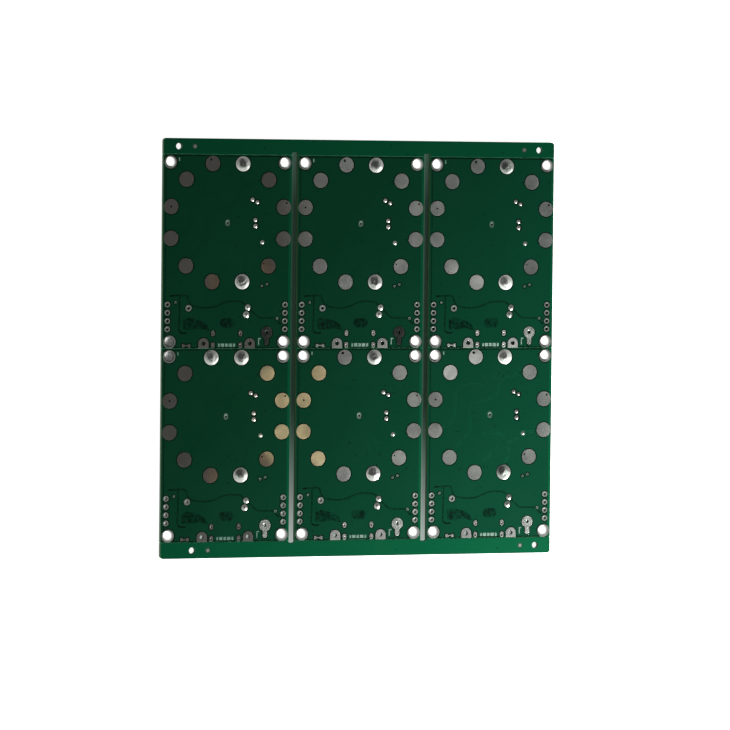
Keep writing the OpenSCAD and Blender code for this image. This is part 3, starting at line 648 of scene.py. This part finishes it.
# Header sleeves: a row of four plated holes along each side edge of a board, at the usual
# tenth of an inch. Solder drew up round on their narrow rings, under a trace of the mask.
HEADER_HOLES = 4
HEADER_BORE = 0.000475
HEADER_RING = 0.000895
HEADER_MOUTH = 0.00008
HEADER_SHOULDER = 0.00016
HEADER_PITCH = 0.00254
HEADER_SPAN = 0.0381
HEADER_SHIFT = -0.00015
HEADER_RISE = 0.00605
RING_FILM = (0.0, 0.02, 0.01, 1)

ring_tin = tin_finish("ring_tin", roughness=0.38, lumps=0.25, depth=0.44, under=RING_FILM,
                      sheen=0.0, warm_reflection=0.2, dark_reflection=0.5)
places = [middle + Vector((HEADER_SHIFT + side * HEADER_SPAN / 2,
                           HEADER_RISE + i * HEADER_PITCH - BOARD_HEIGHT / 2, 0))
          for middle in board_middles for side in (-1, 1) for i in range(HEADER_HOLES)]
sleeves = hole.grow(places, Bore=HEADER_BORE, Ring=HEADER_RING, BackRing=HEADER_RING,
                    Mouth=HEADER_MOUTH, Shoulder=HEADER_SHOULDER, Segments=32,
                    Finish=ring_tin)
one_piece("header_sleeves", [sleeves], [f"board_{b}_header_sleeves" for b in BOARDS])

# Vias: small plated holes between the front and the back. Seven on every board are stopped
# with a bead of solder. Four are open, and the long one in the ring's middle is routed: a thin
# film of the mask ran over the tin of these.
BEAD_RADIUS = 0.001
BEAD_RISE = 0.00022
BEAD_SHOULDER = 0.0001
BEAD_LUMPS, BEAD_LUMP_SIZE = 0.00008, 0.0009
# Across and up from the board's middle, radius of the pad
BEADS = ((0.00805, 0.0162, 0.00065), (0.00965, 0.0154, 0.0006), (0.00905, 0.0099, 0.00065),
         (0.0091, 0.0080, 0.0007), (0.01135, 0.0030, 0.00065), (0.0068, -0.0172, 0.0009),
         (0.0063, -0.0194, 0.0010))
OPEN_VIAS = ((0.0113, -0.01055, 0.0004), (0.01295, -0.0100, 0.000425),
             (-0.0166, -0.01565, 0.0004), (0.0164, -0.0206, 0.00045))
OPEN_VIA_BORE, OPEN_VIA_SHOULDER = 0.00015, 0.00009
LONG_VIA_WIDTH, LONG_VIA_LENGTH, LONG_VIA_BORE = 0.0014, 0.0020, 0.0003
LONG_VIA_SHOULDER = 0.00012
VIA_BACK_RING = 0.0002
VIA_FILM = (0.012, 0.060, 0.036, 1)

bead_tin = tin_finish("bead_solder", roughness=0.16, lumps=0.2, depth=0.75, sheen=0.0,
                      warm_reflection=0.1, dark_reflection=0.2)
filmed_tin = tin_finish("filmed_tin", roughness=0.38, lumps=0.3, depth=0.22, under=VIA_FILM,
                        sheen=0.0, warm_reflection=0.0, dark_reflection=0.4)


def arc(centre, radius, start, stop, steps):
    """Points round a centre, anticlockwise from one angle to another, in degrees."""
    turns = [radians(start + (stop - start) * i / steps) for i in range(steps + 1)]
    return [Vector((centre[0] + radius * cos(a), centre[1] + radius * sin(a))) for a in turns]


def upright_oval(width, length):
    rise = (length - width) / 2
    return arc((0, rise), width / 2, 0, 180, 14) + arc((0, -rise), width / 2, 180, 360, 14)


def inset(outline, amount):
    """The outline drawn in by this much, square to itself."""
    result = []
    for i, point in enumerate(outline):
        ahead = (outline[(i + 1) % len(outline)] - point).normalized()
        behind = (point - outline[i - 1]).normalized()
        inward = Vector((-ahead.y - behind.y, ahead.x + behind.x)).normalized()
        result.append(point + inward * amount)
    return result


def plate(outline, shoulder, finish, bore=None, bore_at=(0, 0), back_ring=0.0, mouth=MOUTH):
    """A tinned pad of any outline with a rounded shoulder, bored and plated through, or solid."""
    def ring(points, level):
        return [shell.verts.new((p.x, p.y, level)) for p in points]

    def round_bore(radius, level):
        at = Vector(bore_at)
        return ring([at + (p - at).normalized() * radius for p in outline], level)

    # From the front inwards: the flat, the shoulder, the rim and the rim's foot
    shell = bmesh.new()
    rings = [ring(inset(outline, shoulder), tin_front),
             ring(inset(outline, 0.3 * shoulder), tin_front - 0.01 * pad_thickness),
             ring(outline, tin_front - 0.05 * pad_thickness),
             ring(outline, laminate_high)]
    # A plated hole's rings run up the bore first, and back down outside the barrel after that
    if bore:
        rings = [round_bore(bore, tin_back),
                 round_bore(bore, tin_front - mouth),
                 round_bore(bore + ROUNDED * mouth, tin_front - ROUNDED * mouth),
                 round_bore(bore + mouth, tin_front)] + rings + [
                 round_bore(bore + BARREL_WALL, laminate_high),
                 round_bore(bore + BARREL_WALL, laminate_low),
                 round_bore(bore + back_ring, laminate_low),
                 round_bore(bore + back_ring, tin_back)]
        rings.append(rings[0])
    for upper, lower in zip(rings, rings[1:]):
        for i in range(len(upper)):
            j = (i + 1) % len(upper)
            shell.faces.new((upper[i], lower[i], lower[j], upper[j]))
    if not bore:
        shell.faces.new(rings[0])
        shell.faces.new(reversed(rings[-1]))
    bmesh.ops.recalc_face_normals(shell, faces=shell.faces)
    mesh = bpy.data.meshes.new("plate")
    shell.to_mesh(mesh)
    shell.free()
    mesh.materials.append(finish)
    return mesh


# One plate's mesh, laid at the same place on every board
on_boards = Growth("on_every_board", Piece=bpy.types.Object, Across=0.0, Up=0.0, Finish=flat_tin)
size = on_boards.inputs
shape = on_boards.add("ObjectInfo", {"Object": size["Piece"]})["Geometry"]
moved = on_boards.add("Transform", {
    "Geometry": shape, "Translation": on_boards.at(size["Across"], size["Up"], 0.0)})[0]
on_boards.end(on_boards.repeat(moved))


def on_every_board(mesh, across, up):
    holder = bpy.data.objects.new(mesh.name, mesh)
    result = on_boards.grow(board_middles, Piece=holder, Across=across, Up=up,
                            Finish=mesh.materials[0])
    bpy.data.objects.remove(holder)
    return result


places, radii = [], []
for middle in board_middles:
    for across, up, radius in BEADS:
        places.append(middle + Vector((across, up, laminate_high)))
        radii.append(radius / BEAD_RADIUS)
meshes = [pad.grow(places, radii, Radius=BEAD_RADIUS, Shoulder=BEAD_SHOULDER, Dome=BEAD_RISE,
                   Lumps=BEAD_LUMPS, LumpSize=BEAD_LUMP_SIZE, Rings=10, Segments=28,
                   Finish=bead_tin)]
for across, up, radius in OPEN_VIAS:
    places = [middle + Vector((across, up, 0)) for middle in board_middles]
    meshes.append(hole.grow(places, Bore=OPEN_VIA_BORE, Ring=radius,
                            BackRing=OPEN_VIA_BORE + VIA_BACK_RING,
                            Shoulder=OPEN_VIA_SHOULDER, Segments=24, Finish=filmed_tin))
long_via = plate(upright_oval(LONG_VIA_WIDTH, LONG_VIA_LENGTH), LONG_VIA_SHOULDER, filmed_tin,
                 bore=LONG_VIA_BORE, back_ring=VIA_BACK_RING)
meshes.append(on_every_board(long_via, 0.0, BOARD_HEIGHT / 2 - RING_DROP))
one_piece("vias", meshes, [f"board_{b}_vias" for b in BOARDS])

# Edge pads: two arched pads that end at the V groove, four ovals, a keyhole pad, a test pad
# and a two pad jumper with a thin link, all tinned, and plated through but for the jumper.
EDGE_SHOULDER = 0.00008
GROOVE_CLEARANCE = 0.00014
ARCH_ACROSS, ARCH_UP, ARCH_WIDTH, ARCH_BORE = 0.0075, -0.0284, 0.0033, 0.00065
ARCH_BACK_RING = 0.0004
ARCH_FLAT = ARCH_UP + BOARD_HEIGHT / 2 - GROOVE_CLEARANCE
OVAL_ACROSS, OVAL_WIDTH, OVAL_LENGTH, OVAL_BORE = 0.00445, 0.00115, 0.0018, 0.00025
OVAL_UPS = (-0.0289, -0.0252)
OVAL_BORE_DROP, OVAL_BACK_RING = 0.0002, 0.0002
KEYHOLE_AT, KEYHOLE_RADIUS, KEYHOLE_BORE = (0.0130, -0.0250), 0.0018, 0.00055
KEYHOLE_TAIL_WIDTH, KEYHOLE_TAIL_END = 0.0014, 0.0039
KEYHOLE_BACK_RING = 0.0004
TEST_AT, TEST_BORE, TEST_RING = (-0.0124, -0.01745), 0.000475, 0.000995
TEST_SHOULDER = 0.00012
JUMPER_AT, JUMPER_PITCH = (-0.0131, -0.02905), 0.00195
JUMPER_PAD, JUMPER_LINK, JUMPER_SHOULDER = (0.00075, 0.00095), 0.0003, 0.00005
TIN_BRIGHT = (0.80, 0.85, 0.78, 1)
# Bores on the upper boards keep only this share of their colour: painted shade
UPPER_BARREL = 0.15

edge_tin = tin_finish("edge_pad_tin", roughness=0.24, lumps=0.35, sheen=0.6, warm_reflection=0.3, dark_reflection=0.9,
                      upper_barrel=UPPER_BARREL, barrel_roughness=BARREL_ROUGHNESS,
                      upper_mouth=0.0)
# The keyhole pads are painted nearly black on the upper left boards: a painted dark reflection
keyhole_tin = tin_finish("keyhole_tin", roughness=0.18, lumps=1.6, lump_scale=420, depth=0.6,
                         under=TIN_BRIGHT, sheen=0.3, warm_reflection=0.0, dark_reflection=0.1, black_reflection=0.9,
                         upper_barrel=UPPER_BARREL, barrel_roughness=BARREL_ROUGHNESS,
                         upper_mouth=0.0)


def line(start, stop, steps):
    """Points on a straight line, without its two ends."""
    return [Vector(start).lerp(Vector(stop), i / steps) for i in range(1, steps)]


half = ARCH_WIDTH / 2
feet = Vector((-half, -ARCH_FLAT)), Vector((half, -ARCH_FLAT))
arch_outline = (arc((0, 0), half, 0, 180, 24) + line((-half, 0), feet[0], 6) + [feet[0]]
                + line(*feet, 12) + [feet[1]] + line(feet[1], (half, 0), 6))
arch = plate(arch_outline, EDGE_SHOULDER, edge_tin, bore=ARCH_BORE, back_ring=ARCH_BACK_RING,
             mouth=PAD_MOUTH)
oval = plate(upright_oval(OVAL_WIDTH, OVAL_LENGTH), EDGE_SHOULDER, edge_tin, bore=OVAL_BORE,
             bore_at=(0, -OVAL_BORE_DROP), back_ring=OVAL_BACK_RING)

half = KEYHOLE_TAIL_WIDTH / 2
below = half - KEYHOLE_TAIL_END
join = -(KEYHOLE_RADIUS ** 2 - half ** 2) ** 0.5
meets = degrees(asin(half / KEYHOLE_RADIUS)) - 90
keyhole_outline = (arc((0, 0), KEYHOLE_RADIUS, meets, 180 - meets, 48)
                   + line((-half, join), (-half, below), 6)
                   + arc((0, below), half, 180, 360, 12)
                   + line((half, below), (half, join), 6))
keyhole = plate(keyhole_outline, EDGE_SHOULDER, keyhole_tin, bore=KEYHOLE_BORE,
                back_ring=KEYHOLE_BACK_RING)

link, rise = JUMPER_LINK / 2, JUMPER_PAD[1] / 2
inner, outer = (JUMPER_PITCH - JUMPER_PAD[0]) / 2, (JUMPER_PITCH + JUMPER_PAD[0]) / 2
corners = [Vector(c) for c in ((inner, -link), (inner, -rise), (outer, -rise), (outer, rise),
                               (inner, rise), (inner, link))]
jumper = plate(corners + [-c for c in corners], JUMPER_SHOULDER, edge_tin)

test_places = [middle + Vector((*TEST_AT, 0)) for middle in board_middles]
test_pads = hole.grow(test_places, Bore=TEST_BORE, Ring=TEST_RING, BackRing=TEST_RING,
                      Shoulder=TEST_SHOULDER, Segments=36, Finish=ring_tin)
meshes = [on_every_board(arch, -ARCH_ACROSS, ARCH_UP), on_every_board(arch, ARCH_ACROSS, ARCH_UP),
          on_every_board(keyhole, *KEYHOLE_AT), on_every_board(jumper, *JUMPER_AT), test_pads]
for up in OVAL_UPS:
    meshes += [on_every_board(oval, -OVAL_ACROSS, up), on_every_board(oval, OVAL_ACROSS, up)]
one_piece("edge_pads", meshes, [f"board_{b}_edge_pads" for b in BOARDS], crease=12)

# Fiducials: four small tinned discs on the rails, in openings of the solder mask, that the
# placing machines look for. Each stands beside a tooling hole.
FIDUCIAL_RADIUS = 0.0005
FIDUCIALS = ((-0.0543, 0.0625), (0.0543, 0.0625), (0.0543, -0.0625), (-0.0491, -0.0625))

mark_tin = tin_finish("fiducial_tin", roughness=0.35, lumps=0.3, depth=0.5, sheen=0.0, warm_reflection=0.0,
                      dark_reflection=0.3)
marks = pad.grow([(x, y, laminate_high) for x, y in FIDUCIALS], Radius=FIDUCIAL_RADIUS,
                 Segments=28, Finish=mark_tin)
one_piece("fiducials", [marks], ["fiducials"], crease=8)

# Legend: white marking ink, screened over the finished mask through a mesh, so that it is
# thin and broken at its edges. Only plain bars, a bracket and a tick are set here.
INK_COLOUR = (0.30, 0.42, 0.35, 1)
INK_THIN = (0.030, 0.110, 0.070, 1)
# The ink shows fainter towards the lower left of the panel
INK_SLOPE, INK_FAINT_AT, INK_FULL_AT, INK_LEFT = 0.5, -0.075, 0.030, 0.3

shades = Shades(bpy.data.materials.new("legend_ink"))
place, x, y, z = shades.places()
cover = shades.noise(place, scale=2600, detail=3, roughness=0.7)
cover = shades.times(shades.ramp(cover, 0.36, 0.62), shades.ramp(
    shades.plus(x, INK_SLOPE, y), INK_FAINT_AT, INK_FULL_AT, INK_LEFT, 1.0))
legend_ink = shades.finish(
    Base_Color=shades.mix(cover, INK_THIN, INK_COLOUR), Roughness=0.6, Specular_IOR_Level=0.3,
    Normal=shades.bump(cover, strength=0.3, distance=0.00001))
for b in BOARDS:
    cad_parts[f"board_{b}_legend"].data.materials[0] = legend_ink

# Floor: a wide sheet of white paper that the panel lies on. It glows for the camera, for
# glossy rays and through glass. Below the panel it is painted dim, as painted shade, with
# painted light in the slots, at the rails' holes and in a disc in each mounting hole, two of
# which, at the left side, are painted nearly dark.
FLOOR_SIZE = 12.0
FLOOR_GLOW = 0.90
PAPER = (0.9, 0.9, 0.9, 1)
PAPER_IN_SHADE = (0.055, 0.11, 0.08, 1)
GLOW_COLOUR = (1, 1, 1, 1)
# The paper in the upper slots glows green: a painted reflection of the slots' walls
GLOW_UPPER_SLOT, GLOW_LOWER_SLOT = (0.85, 1.55, 1.20, 1), (0.92, 1.03, 0.97, 1)
GLOW_TURNS = (-0.020, -0.045)
# Painted light on the paper in the slots: everywhere, towards the bottom and towards the top
SLOT_GLOW, SLOT_GLOW_DOWN, SLOT_GLOW_UP = 0.012, 0.40, 0.03
SLOT_DOWN, SLOT_UP = (-0.015, -0.060), (0.045, 0.060)
PANEL_FADE = (0.0004, 0.0002)
RAIL_LIT = (0.0005, 0.0007)
SLOT_END_REACH = 0.0015
LIT_SHIFT, LIT_RADIUS, LIT_FADE = 0.00045, 0.00135, 0.0001
DARK_HOLES_ACROSS, DARK_HOLES_UP, DARK_HOLES_GLOW = (-0.0590, -0.0595), (0.0065, 0.0060), 0.02

low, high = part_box("laminate")
half = FLOOR_SIZE / 2
floor_mesh = bpy.data.meshes.new("floor")
floor_mesh.from_pydata([(-half, -half, 0), (half, -half, 0), (half, half, 0), (-half, half, 0)],
                       [], [(0, 1, 2, 3)])
floor = bpy.data.objects.new("floor", floor_mesh)
bpy.context.scene.collection.objects.link(floor)

shades = Shades(bpy.data.materials.new("white_paper"))
place, x, y, z = shades.places()
off_x, off_y = shades.unsigned(x), shades.unsigned(y)


def near(across, up, reach):
    """1 on the paper within reach of a place, and 0 further off."""
    return shades.ramp(shades.distance(across, up), reach, reach + LIT_FADE, 1, 0)


under = shades.times(shades.ramp(off_x, *(high.x - fade for fade in PANEL_FADE), 1, 0),
                     shades.ramp(off_y, *(high.y - fade for fade in PANEL_FADE), 1, 0))
downward = shades.ramp(y, *SLOT_DOWN)
in_slot = shades.plus(SLOT_GLOW, SLOT_GLOW_DOWN, shades.times(downward, downward))
in_slot = shades.math("ADD", in_slot, shades.ramp(y, *SLOT_UP, 0.0, SLOT_GLOW_UP))

# A painted lit disc for each mounting hole, a little to one side of its middle
mount_across = shades.unsigned(shades.fold(shades.minus(x, LIT_SHIFT), column_pitch))
mount_across = shades.minus(mount_across, board_width / 2 - MOUNT_SIDE)
mount_up = shades.unsigned(shades.fold(y, BOARD_HEIGHT))
mount_up = shades.minus(mount_up, (MOUNT_BOTTOM + MOUNT_TOP) / 2)
in_boards = shades.ramp(off_y, BOARD_HEIGHT - RAIL_FADE, BOARD_HEIGHT, 1, 0)
# Two mounting holes at the left side keep only a trace of their disc: painted shade
dark_holes = shades.times(shades.ramp(x, *DARK_HOLES_ACROSS), shades.ramp(off_y, *DARK_HOLES_UP))
lit = shades.times(near(mount_across, mount_up, LIT_RADIUS), in_boards,
                   shades.ramp(dark_holes, 0, 1, 1, DARK_HOLES_GLOW))
in_rails = shades.ramp(off_y, *(BOARD_HEIGHT + fade for fade in RAIL_LIT))
slot_ends = near(shades.minus(off_x, column_pitch / 2), 0.0, SLOT_END_REACH)
lit = shades.highest(lit, shades.times(in_rails, shades.minus(1.0, slot_ends)))

shaded = shades.times(under, shades.minus(1.0, shades.math("CEIL", lit)))
beneath = shades.highest(in_slot, shades.times(lit, FLOOR_GLOW))
ray = shades.add("LightPath")
seen = shades.highest(ray["Is Camera Ray"], ray["Is Glossy Ray"], ray["Is Transmission Ray"])
slot_colour = shades.mix(shades.ramp(y, *GLOW_TURNS), GLOW_UPPER_SLOT, GLOW_LOWER_SLOT)
floor_mesh.materials.append(shades.finish(
    Base_Color=shades.mix(shaded, PAPER, PAPER_IN_SHADE), Roughness=0.9, Specular_IOR_Level=0.0,
    Emission_Color=shades.mix(shaded, GLOW_COLOUR, slot_colour),
    Emission_Strength=shades.times(seen, shades.blend(under, FLOOR_GLOW, beneath))))

# Light: a soft lamp low at the lower right, near enough that its light falls off across the
# panel, and a wide, faint one like a window, high up at the right, under a dim grey sky that
# turns white towards the horizon.
LAMP_AT, LAMP_SIZE, LAMP_POWER = Vector((0.22, -0.23, 0.22)), 0.14, 2.5
WINDOW_AT, WINDOW_SIZE, WINDOW_POWER = Vector((0.71, -0.36, 0.91)), 0.52, 1.5
SKY_ZENITH = (0.055, 0.056, 0.058, 1)
SKY_HORIZON = (0.9, 0.9, 0.9, 1)
SKY_FADE = (8, 40)

for name, place, width, power in (("key", LAMP_AT, LAMP_SIZE, LAMP_POWER),
                                  ("window", WINDOW_AT, WINDOW_SIZE, WINDOW_POWER)):
    lamp_data = bpy.data.lights.new(name, "AREA")
    lamp_data.size = width
    lamp_data.energy = power
    lamp = bpy.data.objects.new(name, lamp_data)
    lamp.location = place
    lamp.rotation_euler = (-place).to_track_quat("-Z", "Y").to_euler()
    bpy.context.scene.collection.objects.link(lamp)

# Metal sees the bright walls of the room all round, and the dark gap above the panel. Heights
# are in degrees, and depths run from the panel's top to its bottom.
ROOM_GAP_AT = Vector((0.25, 0.03, 0.97)).normalized()
ROOM_GAP_REACH = (19, 9)
ROOM_LOW_FADE = (20, 38)
ROOM_DEPTH = (0.25, -0.35)
ROOM_GAP = (0.10, 0.10, 0.10, 1)
ROOM_LOW = (0.30, 0.31, 0.30, 1)
ROOM_DIM = (0.58, 0.60, 0.59, 1)
ROOM_BRIGHT = (1.55, 1.65, 1.58, 1)

room = Shades(bpy.data.worlds.new("studio_sky"))
towards = room.add("TexCoord")["Generated"]
side, depth, height = room.add("SeparateXYZ", {0: towards})
grey = room.mix(room.ramp(height, *(sin(radians(a)) for a in SKY_FADE)), SKY_HORIZON, SKY_ZENITH)
into_gap = room.add("VectorMath", {0: towards, 1: ROOM_GAP_AT}, operation="DOT_PRODUCT")["Value"]
into_gap = room.ramp(into_gap, *(cos(radians(a)) for a in ROOM_GAP_REACH))
walls = room.mix(room.ramp(depth, *ROOM_DEPTH), ROOM_DIM, ROOM_BRIGHT)
walls = room.mix(room.ramp(height, *(sin(radians(a)) for a in ROOM_LOW_FADE)), ROOM_LOW, walls)
walls = room.mix(into_gap, walls, ROOM_GAP)
glossy = room.add("LightPath")["Is Glossy Ray"]
bpy.context.scene.world = room.finish(Color=room.mix(glossy, grey, walls))
bpy.context.scene.view_settings.view_transform = "Standard"
